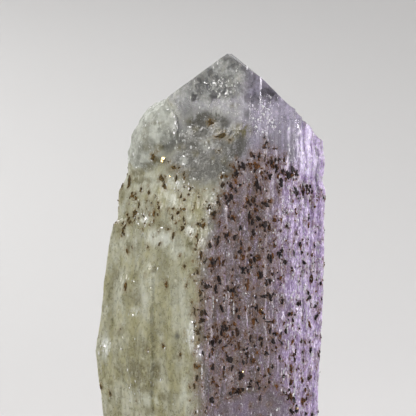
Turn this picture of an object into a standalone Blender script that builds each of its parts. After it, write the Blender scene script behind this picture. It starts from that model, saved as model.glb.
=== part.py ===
# Danburite crystal: one prism that grew on rock, broken off flat at its foot.
# It stands along +Z on the broken foot, with its sharp front edge towards -Y.
# Lengths are in millimetres here and are scaled to metres when a mesh is made.

import math
import random

import bmesh
import bpy
from mathutils import Matrix, Vector

MM = 0.001
SAME_PLACE = 1e-7  # points nearer a cut than this, in metres, lie on it

PRISM_TOP = 50.0  # the prism runs past its roof, which then cuts it

# Edges of the prism, in order round it from the left and seen from above.
# Each point is (height, across, depth), so each edge is a line up the crystal.
# The left edge carries the growth ledges that make its outline step outwards.
LEFT_EDGE = [
    (0.0, -9.5, 1.4), (1.2, -10.3, 1.4), (4.5, -10.9, 1.3), (9.0, -11.3, 1.2),
    (12.0, -11.7, 1.1), (14.2, -12.0, 1.1), (16.0, -12.2, 1.0), (17.6, -12.0, 1.0),
    (20.0, -11.65, 0.9), (22.6, -11.35, 0.9),
    (28.0, -10.6, 0.9), (29.6, -10.2, 0.8), (30.2, -9.8, 0.8), (33.0, -9.8, 0.8),
    (34.5, -9.5, 0.8), (35.0, -8.8, 0.9), (36.2, -9.1, 1.0), (PRISM_TOP, -8.4, 1.2),
]
# A shallow bend in the left face, where one growth sheet ends against the next.
LEFT_BEND = [
    (0.0, -5.4, -4.2), (3.0, -6.1, -4.9), (24.0, -6.2, -4.9), (32.0, -5.6, -4.4),
    (38.0, -4.6, -3.5), (PRISM_TOP, -4.2, -3.0),
]
# The front edge crosses to the right as it rises, along the wide right face, so
# that the left face turns and leans back towards the roof.
FRONT_EDGE = [
    (0.0, -1.0, -7.6), (2.5, -1.2, -8.3), (9.0, -1.3, -8.6), (21.4, -1.2, -8.5),
    (25.7, -0.9, -8.3), (28.9, -0.2, -8.0), (32.1, 0.6, -7.5), (34.3, 1.5, -7.0),
    (35.9, 2.3, -6.5), (37.5, 2.9, -6.1), (40.7, 3.5, -5.8), (PRISM_TOP, 3.8, -5.6),
]
# The edge between the wide right face and the narrow ribbed one.
RIB_EDGE = [
    (0.0, 7.3, -3.2), (3.0, 8.0, -3.2), (22.0, 8.4, -3.0), (PRISM_TOP, 8.3, -3.0),
]
RIGHT_EDGE = [
    (0.0, 10.4, 2.4), (2.2, 11.2, 2.4), (9.0, 11.6, 2.4), (18.2, 11.9, 2.4),
    (24.0, 12.0, 2.4), (33.0, 12.3, 2.4), (34.3, 11.9, 2.4), (35.8, 12.3, 2.4),
    (38.0, 12.0, 2.4), (PRISM_TOP, 11.8, 2.4),
]
BACK_RIGHT_EDGE = [
    (0.0, 6.8, 6.6), (3.4, 7.8, 7.4), (18.0, 8.2, 7.7), (30.6, 8.2, 7.7),
    (31.2, 7.8, 7.2), (PRISM_TOP, 7.6, 7.0),
]
BACK_EDGE = [
    (0.0, 0.4, 8.6), (2.0, 0.2, 9.6), (20.0, 0.2, 10.2), (PRISM_TOP, 0.4, 9.8),
]
BACK_LEFT_EDGE = [
    (0.0, -6.0, 6.2), (2.8, -7.0, 7.2), (14.0, -7.4, 7.6), (24.0, -7.2, 7.5),
    (24.8, -6.6, 6.9), (PRISM_TOP, -6.2, 6.4),
]

# Faces of the prism as (its left edge, rib count, rib height, seed of its ribs).
FACES = [
    (LEFT_EDGE, 7, 0.22, 3),
    (LEFT_BEND, 6, 0.16, 5),
    (FRONT_EDGE, 9, 0.12, 8),
    (RIB_EDGE, 9, 0.20, 12),
    (RIGHT_EDGE, 7, 0.22, 17),
    (BACK_RIGHT_EDGE, 8, 0.20, 21),
    (BACK_EDGE, 8, 0.22, 27),
    (BACK_LEFT_EDGE, 8, 0.20, 31),
]
RIB_STRAY = 0.30  # how far a rib stands off even spacing, as a share of it
RIB_LEAST = 0.6  # height of the lowest rib, as a share of its face's rib height
GROOVE_SHARE = 0.35  # depth of the groove after a rib, as a share of a rib's height
RIB_WAVE = 17.0  # length over which a rib swells and fades
RIB_FADE = 0.3  # share of its height that a rib loses where it fades

# Heights of the rings of points that the faces are drawn between. They are
# close together where an edge steps.
RINGS = [
    0.0, 1.2, 2.6, 4.5, 6.8, 9.0, 12.0, 14.2, 16.0, 17.6, 20.0, 22.6, 24.0, 24.8,
    26.6, 28.0, 29.6, 30.2, 31.2, 33.0, 34.3, 35.0, 36.2, 38.0, 40.6, 43.6, 46.6,
    PRISM_TOP,
]

# Flat faces that cut the prism, as (a point on the face, its outward direction).
LEFT_ROOF = ((1.1, -4.5, 47.0), (-0.570, 0.060, 0.820))
TIP = ((2.1, -4.5, 47.4), (0.580, -0.120, 0.806))
RIGHT_ROOF = ((4.1, -4.5, 46.2), (0.679, 0.045, 0.733))
BACK_ROOF = ((2.5, 4.6, 46.2), (0.100, 0.600, 0.790))
STEEP_SHOULDER = ((8.6, -1.0, 42.0), (0.688, 0.020, 0.725))
CORNER_SHOULDER = ((10.2, -1.0, 40.7), (0.908, -0.363, 0.210))
BROKEN_SHOULDER = ((-4.6, 0.0, 42.7), (-0.825, 0.020, 0.565))
CUTS = [
    LEFT_ROOF, TIP, RIGHT_ROOF, BACK_ROOF, STEEP_SHOULDER, CORNER_SHOULDER,
    BROKEN_SHOULDER,
]

# The lump that overgrew the broken left shoulder, as rows of (across, depth,
# height): its raised right rim, its front, its outline, its back and its root.
LUMP = [
    (-4.5, -2.6, 42.7), (-4.1, -3.5, 41.8), (-3.6, -4.1, 40.9), (-3.4, -4.3, 39.9),
    (-3.6, -4.5, 38.9), (-4.1, -4.7, 37.9), (-5.2, -4.5, 36.7),
    (-5.4, -3.1, 41.9), (-6.0, -3.5, 40.6), (-6.2, -3.7, 39.0), (-6.7, -3.4, 37.4),
    (-7.6, -2.2, 35.8), (-8.3, -1.3, 35.4), (-7.5, -1.9, 39.0), (-6.9, -1.8, 40.7),
    (-4.7, -0.8, 42.9), (-5.9, -0.6, 42.5), (-6.75, -0.2, 41.8), (-7.4, 0.2, 40.9),
    (-7.8, 0.5, 40.1), (-8.2, 0.8, 39.5), (-8.6, 1.0, 38.4), (-9.05, 1.0, 37.0),
    (-9.15, 1.0, 36.1), (-8.9, 1.0, 35.1),
    (-4.5, 3.0, 42.3), (-6.3, 3.3, 40.9), (-7.3, 3.5, 39.4), (-8.1, 3.4, 37.6),
    (-8.3, 3.1, 35.6),
    (-2.4, 0.5, 40.0), (-3.6, 1.0, 35.4), (-7.6, 1.0, 34.2),
]

# Shell-shaped breaks, as (centre, half sizes, turn about +Z in degrees).
# Each cuts a shallow hollow into the face that it reaches.
BREAKS = [
    ((9.2, -11.3, 7.2), (8.0, 8.0, 10.5), 30.0),  # above the foot, on the right face
    ((-0.7, -9.1, 25.6), (1.1, 0.9, 2.0), 20.0),  # three along the bruised front edge
    ((0.4, -8.6, 30.4), (1.3, 1.0, 2.2), -15.0),
    ((2.3, -7.4, 36.2), (1.2, 1.2, 2.6), 25.0),
    ((-11.8, -4.4, 26.0), (4.4, 4.4, 6.4), 0.0),  # beside the left ledges
    ((-14.6, 8.0, 8.0), (7.0, 7.0, 9.0), 20.0),  # behind, low on the left
    ((5.9, 14.3, 20.4), (6.0, 6.0, 8.6), -20.0),  # on the back
]
BREAK_ROUNDNESS = 3  # subdivisions of the ball that shapes a break
BREAK_UNEVENNESS = 0.02  # how far its points stray, as a share of its size

CRYSTAL_COLOUR = (0.46, 0.44, 0.42, 1.0)
CRYSTAL_ROUGHNESS = 0.32
CRYSTAL_TRANSMISSION = 0.45
DANBURITE_IOR = 1.63


def clear_scene():
    for thing in list(bpy.data.objects):
        bpy.data.objects.remove(thing)


def point_on(edge, height):
    """The place of an edge at a height, straight between its own points."""
    for (low, x0, y0), (high, x1, y1) in zip(edge, edge[1:]):
        if height <= high:
            share = (height - low) / (high - low)
            return Vector((x0 + (x1 - x0) * share, y0 + (y1 - y0) * share, height))
    return Vector((edge[-1][1], edge[-1][2], height))


def ribs_of(count, seed):
    """Where the ribs of a face stand across it, and how each swells and fades."""
    draw = random.Random(seed)
    ribs = []
    for number in range(count):
        place = (number + 1 + draw.uniform(-RIB_STRAY, RIB_STRAY)) / (count + 1)
        rise = draw.uniform(RIB_LEAST, 1.0)
        if number % 2 == 1:
            rise *= -GROOVE_SHARE
        ribs.append((place, rise, draw.uniform(0, math.tau)))
    return ribs


def ring_points(height, ribbed_faces):
    """One turn round the prism: each edge, then the ribs of the face after it."""
    points = []
    for number, (edge, rib_height, ribs) in enumerate(ribbed_faces):
        following = ribbed_faces[(number + 1) % len(ribbed_faces)][0]
        start = point_on(edge, height)
        end = point_on(following, height)
        along = end - start
        outwards = Vector((along.y, -along.x, 0)).normalized()
        points.append(start)
        for place, rise, phase in ribs:
            wave = math.sin(height * math.tau / RIB_WAVE + phase)
            swell = 1 - RIB_FADE + RIB_FADE * wave
            points.append(start + along * place + outwards * rib_height * rise * swell)
    return points


def ribbed_prism():
    """The whole prism before its roof is cut, as rings joined by four-sided faces."""
    faces = [(edge, tall, ribs_of(count, seed)) for edge, count, tall, seed in FACES]
    bm = bmesh.new()
    rings = []
    for height in RINGS:
        rings.append([bm.verts.new(p * MM) for p in ring_points(height, faces)])
    for lower, upper in zip(rings, rings[1:]):
        for i in range(len(lower)):
            j = (i + 1) % len(lower)
            bm.faces.new((lower[i], lower[j], upper[j], upper[i]))
    bm.faces.new(list(reversed(rings[0])))
    bm.faces.new(rings[-1])
    return bm


def cut_flat(bm, place, outwards):
    """Takes away what stands outside a flat face, and closes the cut."""
    everything = bm.verts[:] + bm.edges[:] + bm.faces[:]
    bmesh.ops.bisect_plane(
        bm, geom=everything, dist=SAME_PLACE, plane_co=Vector(place) * MM,
        plane_no=Vector(outwards).normalized(), clear_outer=True,
    )
    rim = [e for e in bm.edges if e.is_boundary]
    bmesh.ops.holes_fill(bm, edges=rim, sides=0)


def object_from(bm, name):
    bmesh.ops.recalc_face_normals(bm, faces=bm.faces)
    mesh = bpy.data.meshes.new(name)
    bm.to_mesh(mesh)
    bm.free()
    thing = bpy.data.objects.new(name, mesh)
    bpy.context.scene.collection.objects.link(thing)
    return thing


def as_helper(thing):
    thing.hide_render = True
    thing.display_type = "WIRE"
    return thing


def lump():
    bm = bmesh.new()
    for place in LUMP:
        bm.verts.new(Vector(place) * MM)
    hull = bmesh.ops.convex_hull(bm, input=bm.verts)
    inner = [v for v in hull["geom_interior"] if isinstance(v, bmesh.types.BMVert)]
    bmesh.ops.delete(bm, geom=inner, context="VERTS")
    return as_helper(object_from(bm, "lump_form"))


def break_cutter(number, centre, half_sizes, turn):
    draw = random.Random(number)
    bm = bmesh.new()
    bmesh.ops.create_icosphere(bm, subdivisions=BREAK_ROUNDNESS, radius=1.0)
    for vert in bm.verts:
        vert.co *= 1 + draw.uniform(-BREAK_UNEVENNESS, BREAK_UNEVENNESS)
    bmesh.ops.transform(bm, verts=bm.verts, matrix=(
        Matrix.Translation(Vector(centre) * MM)
        @ Matrix.Rotation(math.radians(turn), 4, "Z")
        @ Matrix.Diagonal((*(size * MM for size in half_sizes), 1.0))
    ))
    return as_helper(object_from(bm, f"break_form_{number}"))


def add_boolean(thing, other, operation):
    step = thing.modifiers.new(f"{operation.lower()}_{other.name}", "BOOLEAN")
    step.operation = operation
    step.solver = "EXACT"
    step.object = other


def crystal_material():
    material = bpy.data.materials.new("danburite")
    material.use_nodes = True
    shader = material.node_tree.nodes["Principled BSDF"]
    shader.inputs["Base Color"].default_value = CRYSTAL_COLOUR
    shader.inputs["Roughness"].default_value = CRYSTAL_ROUGHNESS
    shader.inputs["Transmission Weight"].default_value = CRYSTAL_TRANSMISSION
    shader.inputs["IOR"].default_value = DANBURITE_IOR
    return material


def put_origin_under(thing):
    """Applies the modifiers, and centres the crystal over the origin on its foot."""
    graph = bpy.context.evaluated_depsgraph_get()
    finished = bpy.data.meshes.new_from_object(thing.evaluated_get(graph))
    thing.modifiers.clear()
    thing.data = finished
    spans = [[v.co[axis] for v in finished.vertices] for axis in range(3)]
    middle = [(min(span) + max(span)) / 2 for span in spans[:2]]
    finished.transform(Matrix.Translation((-middle[0], -middle[1], -min(spans[2]))))


def main():
    clear_scene()
    prism = ribbed_prism()
    for place, outwards in CUTS:
        cut_flat(prism, place, outwards)
    crystal = object_from(prism, "danburite_crystal")
    add_boolean(crystal, lump(), "UNION")
    for number, (centre, half_sizes, turn) in enumerate(BREAKS):
        add_boolean(crystal, break_cutter(number, centre, half_sizes, turn), "DIFFERENCE")
    put_origin_under(crystal)
    crystal.data.materials.clear()
    crystal.data.materials.append(crystal_material())


main()
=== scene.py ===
# Dresses the danburite crystal: ribbed and frosted skin, clear tip, grains, glints.
# Lengths in the dictionaries are millimetres in the frame of the solid,
# which stands on z = 0 with its sharp front edge towards -Y.

import math
import random

import bmesh
import bpy
import numpy as np
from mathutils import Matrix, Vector
from mathutils.bvhtree import BVHTree
from mathutils.kdtree import KDTree


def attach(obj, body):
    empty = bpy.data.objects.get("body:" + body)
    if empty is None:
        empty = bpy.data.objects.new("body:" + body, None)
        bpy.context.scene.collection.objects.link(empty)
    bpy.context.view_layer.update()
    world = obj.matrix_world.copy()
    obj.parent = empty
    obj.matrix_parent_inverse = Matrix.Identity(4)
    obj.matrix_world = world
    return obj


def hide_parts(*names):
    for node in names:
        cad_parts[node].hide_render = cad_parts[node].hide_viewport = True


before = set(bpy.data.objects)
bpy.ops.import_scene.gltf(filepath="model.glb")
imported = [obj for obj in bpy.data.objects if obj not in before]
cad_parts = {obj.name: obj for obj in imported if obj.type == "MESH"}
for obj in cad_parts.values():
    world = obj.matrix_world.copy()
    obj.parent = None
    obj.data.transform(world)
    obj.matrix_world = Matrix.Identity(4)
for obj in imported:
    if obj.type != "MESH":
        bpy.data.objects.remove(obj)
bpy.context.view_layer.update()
mm = 0.001
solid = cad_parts["danburite_crystal"]
print("stage 1: the solid is loaded")


def linkedObject(name, mesh):
    thing = bpy.data.objects.new(name, mesh)
    bpy.context.scene.collection.objects.link(thing)
    return thing


def handIn(thing):
    print("made", thing.name, "of", len(thing.data.polygons), "faces")
    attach(thing, "root")
    return thing


def addNode(tree, kind, settings=None, inputs=None):
    node = tree.nodes.new(kind)
    for key, value in (settings or {}).items():
        setattr(node, key, value)
    for key, value in (inputs or {}).items():
        value = getattr(value, "socket", value)
        if isinstance(value, bpy.types.NodeSocket):
            tree.links.new(value, node.inputs[key])
        else:
            node.inputs[key].default_value = value
    return node


class Value:
    # a node's output that can be added, taken off and multiplied
    def __init__(self, graph, socket):
        self.graph, self.socket = graph, socket

    def __add__(self, other):
        return self.graph.math("ADD", self, other)

    def __sub__(self, other):
        return self.graph.math("SUBTRACT", self, other)

    def __rsub__(self, other):
        return self.graph.math("SUBTRACT", other, self)

    def __mul__(self, other):
        return self.graph.math("MULTIPLY", self, other)

    __radd__, __rmul__ = __add__, __mul__


class Graph:
    # short names for the nodes of one tree, whose patterns hang on place
    def __init__(self, tree, place):
        self.tree, self.place = tree, place

    def value(self, kind, settings=None, inputs=None, output=0):
        return Value(self, addNode(self.tree, kind, settings, inputs).outputs[output])

    def math(self, operation, a, b=0.0, clamp=False):
        return self.value("ShaderNodeMath", {"operation": operation, "use_clamp": clamp}, {0: a, 1: b})

    def vector(self, operation, a, b, output=0):
        second = "Scale" if operation == "SCALE" else 1
        return self.value("ShaderNodeVectorMath", {"operation": operation}, {0: a, second: b}, output)

    def attribute(self, name):
        return self.value("GeometryNodeInputNamedAttribute", {"data_type": "FLOAT"},
                          {"Name": name}, "Attribute")

    def combine(self, x, y, z):
        return self.value("ShaderNodeCombineXYZ", None, {0: x, 1: y, 2: z})

    def lumps(self, place, detail=2.0, roughness=0.5, output=0):
        # noise whose lumps are about one unit wide
        return self.value("ShaderNodeTexNoise", None, {
            "Vector": place, "Scale": 1.0, "Detail": detail, "Roughness": roughness,
        }, output)

    def cells(self, place):
        return addNode(self.tree, "ShaderNodeTexVoronoi", None, {"Vector": place, "Scale": 1.0}).outputs

    def finish(self, geometry):
        addNode(self.tree, "NodeGroupOutput", None, {0: geometry})
        return self.tree


def runTree(thing, tree, values):
    # runs a tree on an object, and turns the result into the object's own plain mesh
    step = thing.modifiers.new(tree.name, "NODES")
    step.node_group = tree
    for item in tree.interface.items_tree:
        if item.item_type == "SOCKET" and item.in_out == "INPUT" and item.name in values:
            value = values[item.name]
            step[item.identifier] = float(value) if item.socket_type == "NodeSocketFloat" else value
    graph = bpy.context.evaluated_depsgraph_get()
    graph.update()
    plain, old = bpy.data.meshes.new_from_object(thing.evaluated_get(graph)), thing.data
    thing.modifiers.clear()
    thing.data = plain
    bpy.data.meshes.remove(old)
    return thing


def newGraph(name, values, wholes=()):
    # a tree with an input for each of the values: wholes names the whole numbers among them,
    # and None stands for a material
    tree = bpy.data.node_groups.new(name, "GeometryNodeTree")
    kinds = {str: "String", type(None): "Material"}
    tree.interface.new_socket("Geometry", in_out="INPUT", socket_type="NodeSocketGeometry")
    for key, value in values.items():
        kind = "Int" if key in wholes else kinds.get(type(value), "Float")
        tree.interface.new_socket(key, in_out="INPUT", socket_type="NodeSocket" + kind)
    tree.interface.new_socket("Geometry", in_out="OUTPUT", socket_type="NodeSocketGeometry")
    g = Graph(tree, addNode(tree, "GeometryNodeInputPosition").outputs[0])
    return g, {socket.name: Value(g, socket) for socket in addNode(tree, "NodeGroupInput").outputs}


def smooth(values, low, high):
    share = np.clip((values - low) / (high - low), 0.0, 1.0)
    return share * share * (3 - 2 * share)


# the camera looks level at the front edge
camera = {
    "aimAcross": -0.277,  # what the picture's middle looks at
    "aimHeight": 31.29,
    "distance": 320.0,
    "fieldWidth": 44.57,  # width of the picture where the crystal stands
}


def makeCamera(look):
    data = bpy.data.cameras.new("camera")
    data.sensor_width = 36.0
    data.lens = data.sensor_width * look["distance"] / look["fieldWidth"]
    data.clip_start = 0.01
    data.clip_end = 10.0
    thing = linkedObject("camera", data)
    thing.location = Vector((look["aimAcross"], -look["distance"], look["aimHeight"])) * mm
    thing.rotation_euler = (math.radians(90), 0, 0)
    bpy.context.scene.camera = thing


makeCamera(camera)

# a pale matte bowl, soft lamps and a soft room
studio = {
    "floorRadius": 260.0,
    "wallRadius": 1150.0,
    "wallHeight": 1000.0,
    "bendSteps": 24,
    "sides": 96,
    "floorGap": 0.05,  # keeps the floor just below the foot
    "colour": (0.66, 0.655, 0.645, 1),
    "roughness": 0.9,
    "worldColour": (0.92, 0.94, 1.0, 1),
    "worldStrength": 0.24,
}
lampAim = (0, 0, 26)
lamps = {
    # place, size across and up, power in watts, colour
    "key": ((-470, -350, 470), (390, 390), 4.1, (1.0, 0.98, 0.93)),
    "side": ((520, 120, 120), (150, 420), 3.3, (0.97, 0.93, 1.0)),
    "fill": ((300, -560, 220), (400, 400), 0.4, (0.98, 0.97, 1.0)),
    "rim": ((-250, 520, 380), (300, 300), 1.6, (1.0, 1.0, 1.0)),
    "spark": ((-300, -560, 380), (60, 60), 0.35, (1.0, 1.0, 1.0)),
}


def makeStudio(look):
    floor, gap, sides = look["floorRadius"], look["floorGap"], look["sides"]
    bend = look["wallRadius"] - floor
    turns = [math.radians(90 * step / look["bendSteps"]) for step in range(1, look["bendSteps"] + 1)]
    profile = [(floor, 0.0)]
    profile += [(floor + bend * math.sin(turn), bend * (1 - math.cos(turn))) for turn in turns]
    profile.append((look["wallRadius"], look["wallHeight"]))
    bm = bmesh.new()
    centre = bm.verts.new((0, 0, -gap * mm))
    around = [math.tau * side / sides for side in range(sides)]
    rows = [
        [bm.verts.new((radius * mm * math.cos(turn), radius * mm * math.sin(turn), (height - gap) * mm))
         for turn in around]
        for radius, height in profile
    ]
    for side in range(sides):
        after = (side + 1) % sides
        bm.faces.new((centre, rows[0][side], rows[0][after]))
        for lower, upper in zip(rows, rows[1:]):
            bm.faces.new((lower[side], upper[side], upper[after], lower[after]))
    for face in bm.faces:
        face.smooth = True
    mesh = bpy.data.meshes.new("studio_floor")
    bm.to_mesh(mesh)
    bm.free()
    material = bpy.data.materials.new("matte_floor")
    material.use_nodes = True
    shader = material.node_tree.nodes["Principled BSDF"]
    shader.inputs["Base Color"].default_value = look["colour"]
    shader.inputs["Roughness"].default_value = look["roughness"]
    mesh.materials.append(material)
    linkedObject("studio_floor", mesh)

    world = bpy.data.worlds.new("soft_room")
    bpy.context.scene.world = world
    world.use_nodes = True
    back = world.node_tree.nodes["Background"]
    back.inputs["Color"].default_value = look["worldColour"]
    back.inputs["Strength"].default_value = look["worldStrength"]


def makeLamps(rows):
    for name, (place, size, power, colour) in rows.items():
        data = bpy.data.lights.new(name, "AREA")
        data.shape = "RECTANGLE"
        data.size, data.size_y = size[0] * mm, size[1] * mm
        data.energy = power
        data.color = colour
        thing = linkedObject(name, data)
        thing.location = Vector(place) * mm
        aim = Vector(lampAim) * mm - thing.location
        thing.rotation_euler = aim.to_track_quat("-Z", "Y").to_euler()


makeStudio(studio)
makeLamps(lamps)
bpy.context.scene.view_settings.view_transform = "Standard"
print("stage 2: camera and studio")

# the skin: a fine copy of the solid, with its zones painted on its points
crystal = {
    "cellAcross": 0.27,  # width and height of the largest cell of the skin's mesh
    "cellTall": 0.56,
    "sharpAngle": 24,  # degrees between faces that meet in an edge
    "flatFrost": 0.4,  # share of frost from which the small faces stay flat
    # where the front edge stands at each height
    "frontHeights": (0, 2.5, 9, 21.4, 25.7, 28.9, 32.1, 34.3, 35.9, 37.5, 40.7, 47.7),
    "frontAcross": (-1, -1.3, -1.35, -1.25, -0.95, -0.25, 0.55, 1.45, 2.25, 2.85, 3.45, 3.75),
    "backAcross": 0.3,  # where cream turns to lilac behind
    # lower limit of the clear tip, from left to right
    "clearAcross": (-12, -8, -5, -3, 0, 2.4, 5.5, 6.9, 8.5, 9.3, 9.8, 12.5),
    "clearHeight": (41, 40.5, 38, 36, 35.2, 36, 38.2, 37.9, 36.3, 38, 41.5, 41.5),
    # upper limit of the grains, from left to right
    "grainAcross": (-12.5, -8, -4, -1.5, 0.5, 2.4, 4, 5.5, 6.9, 8.5, 10.1, 12.5),
    "grainHeight": (34, 36.8, 37, 33.5, 34, 35.8, 37.3, 38.2, 37.7, 35.9, 33.9, 33),
    # the frosted lump, middle and half size
    "lumpMiddle": (-6.4, -1.2, 39.4),
    "lumpHalf": (3.9, 5.8, 4.4),
    # where broken ground runs out softly: middle and half size
    "blends": (
        ((-7.2, -2.6, 35.9), (5.6, 5.4, 3.6)), ((-0.6, -7.0, 36.2), (6.6, 5.5, 4.6)),
        ((-5.6, 3.6, 38.4), (4.6, 4.6, 3.6)),
    ),
    "blendPasses": 90,  # how often the points there move towards their neighbours
    # bright bands by the right corner, a painted highlight where the ribs there catch light: across, low,
    # high, half width, strength
    "highlightBands": (
        (9.66, 34.9, 40.3, 0.2, 1), (10.32, 34.7, 40, 0.26, 1), (9.1, 35.4, 40.9, 0.12, 0.5),
        (11, 34.9, 37.6, 0.16, 0.5), (8.2, 38.6, 41.3, 0.1, 0.6), (7.6, 36.4, 40.6, 0.1, 0.35),
    ),
    # where the flecks lie close together: across, height, half width, half height, share
    "sparkles": (
        (5.7, 40.9, 2.2, 2.2, 1.5), (1.2, 44.2, 2, 1.1, 1.4), (-3.7, 40.2, 0.3, 2.2, 1),
        (-2.6, 34, 2, 1.4, 0.8), (-8.9, 37, 0.9, 2, 0.9), (-3.1, 36.6, 0.9, 0.9, 1),
        (-7.2, 30.2, 1.4, 1.4, 0.7), (-2, 17.6, 0.9, 2.6, 1.2), (-11.3, 16.6, 0.9, 1.8, 1.3),
        (-6.8, 12.6, 2.6, 1.2, 0.5), (8.9, 31, 1.6, 2, 0.8), (9.4, 22, 1.8, 6, 0.6),
    ),
    # smooth break low on the right face: across and height
    "breakMiddle": (4.6, 9.6),
    "breakHalf": (4.3, 2.7),
    # growth steps: across, low, high, how proud, how far it fades to the left
    "ledges": (
        (-6.1, 8, 25.3, 0.22, 2.4), (-9.2, 12, 22.5, 0.07, 1.2), (-3.6, 14.5, 24, 0.05, 1.6),
        (2.9, 14, 26.5, 0.05, 1.2), (5.7, 17, 33, 0.06, 1.4), (10.76, 34.3, 40.2, 0.14, 0.7),
        (9.93, 34.6, 40.8, 0.12, 0.4), (9.42, 35.2, 41.4, -0.05, 1.6),
    ),
}
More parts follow.
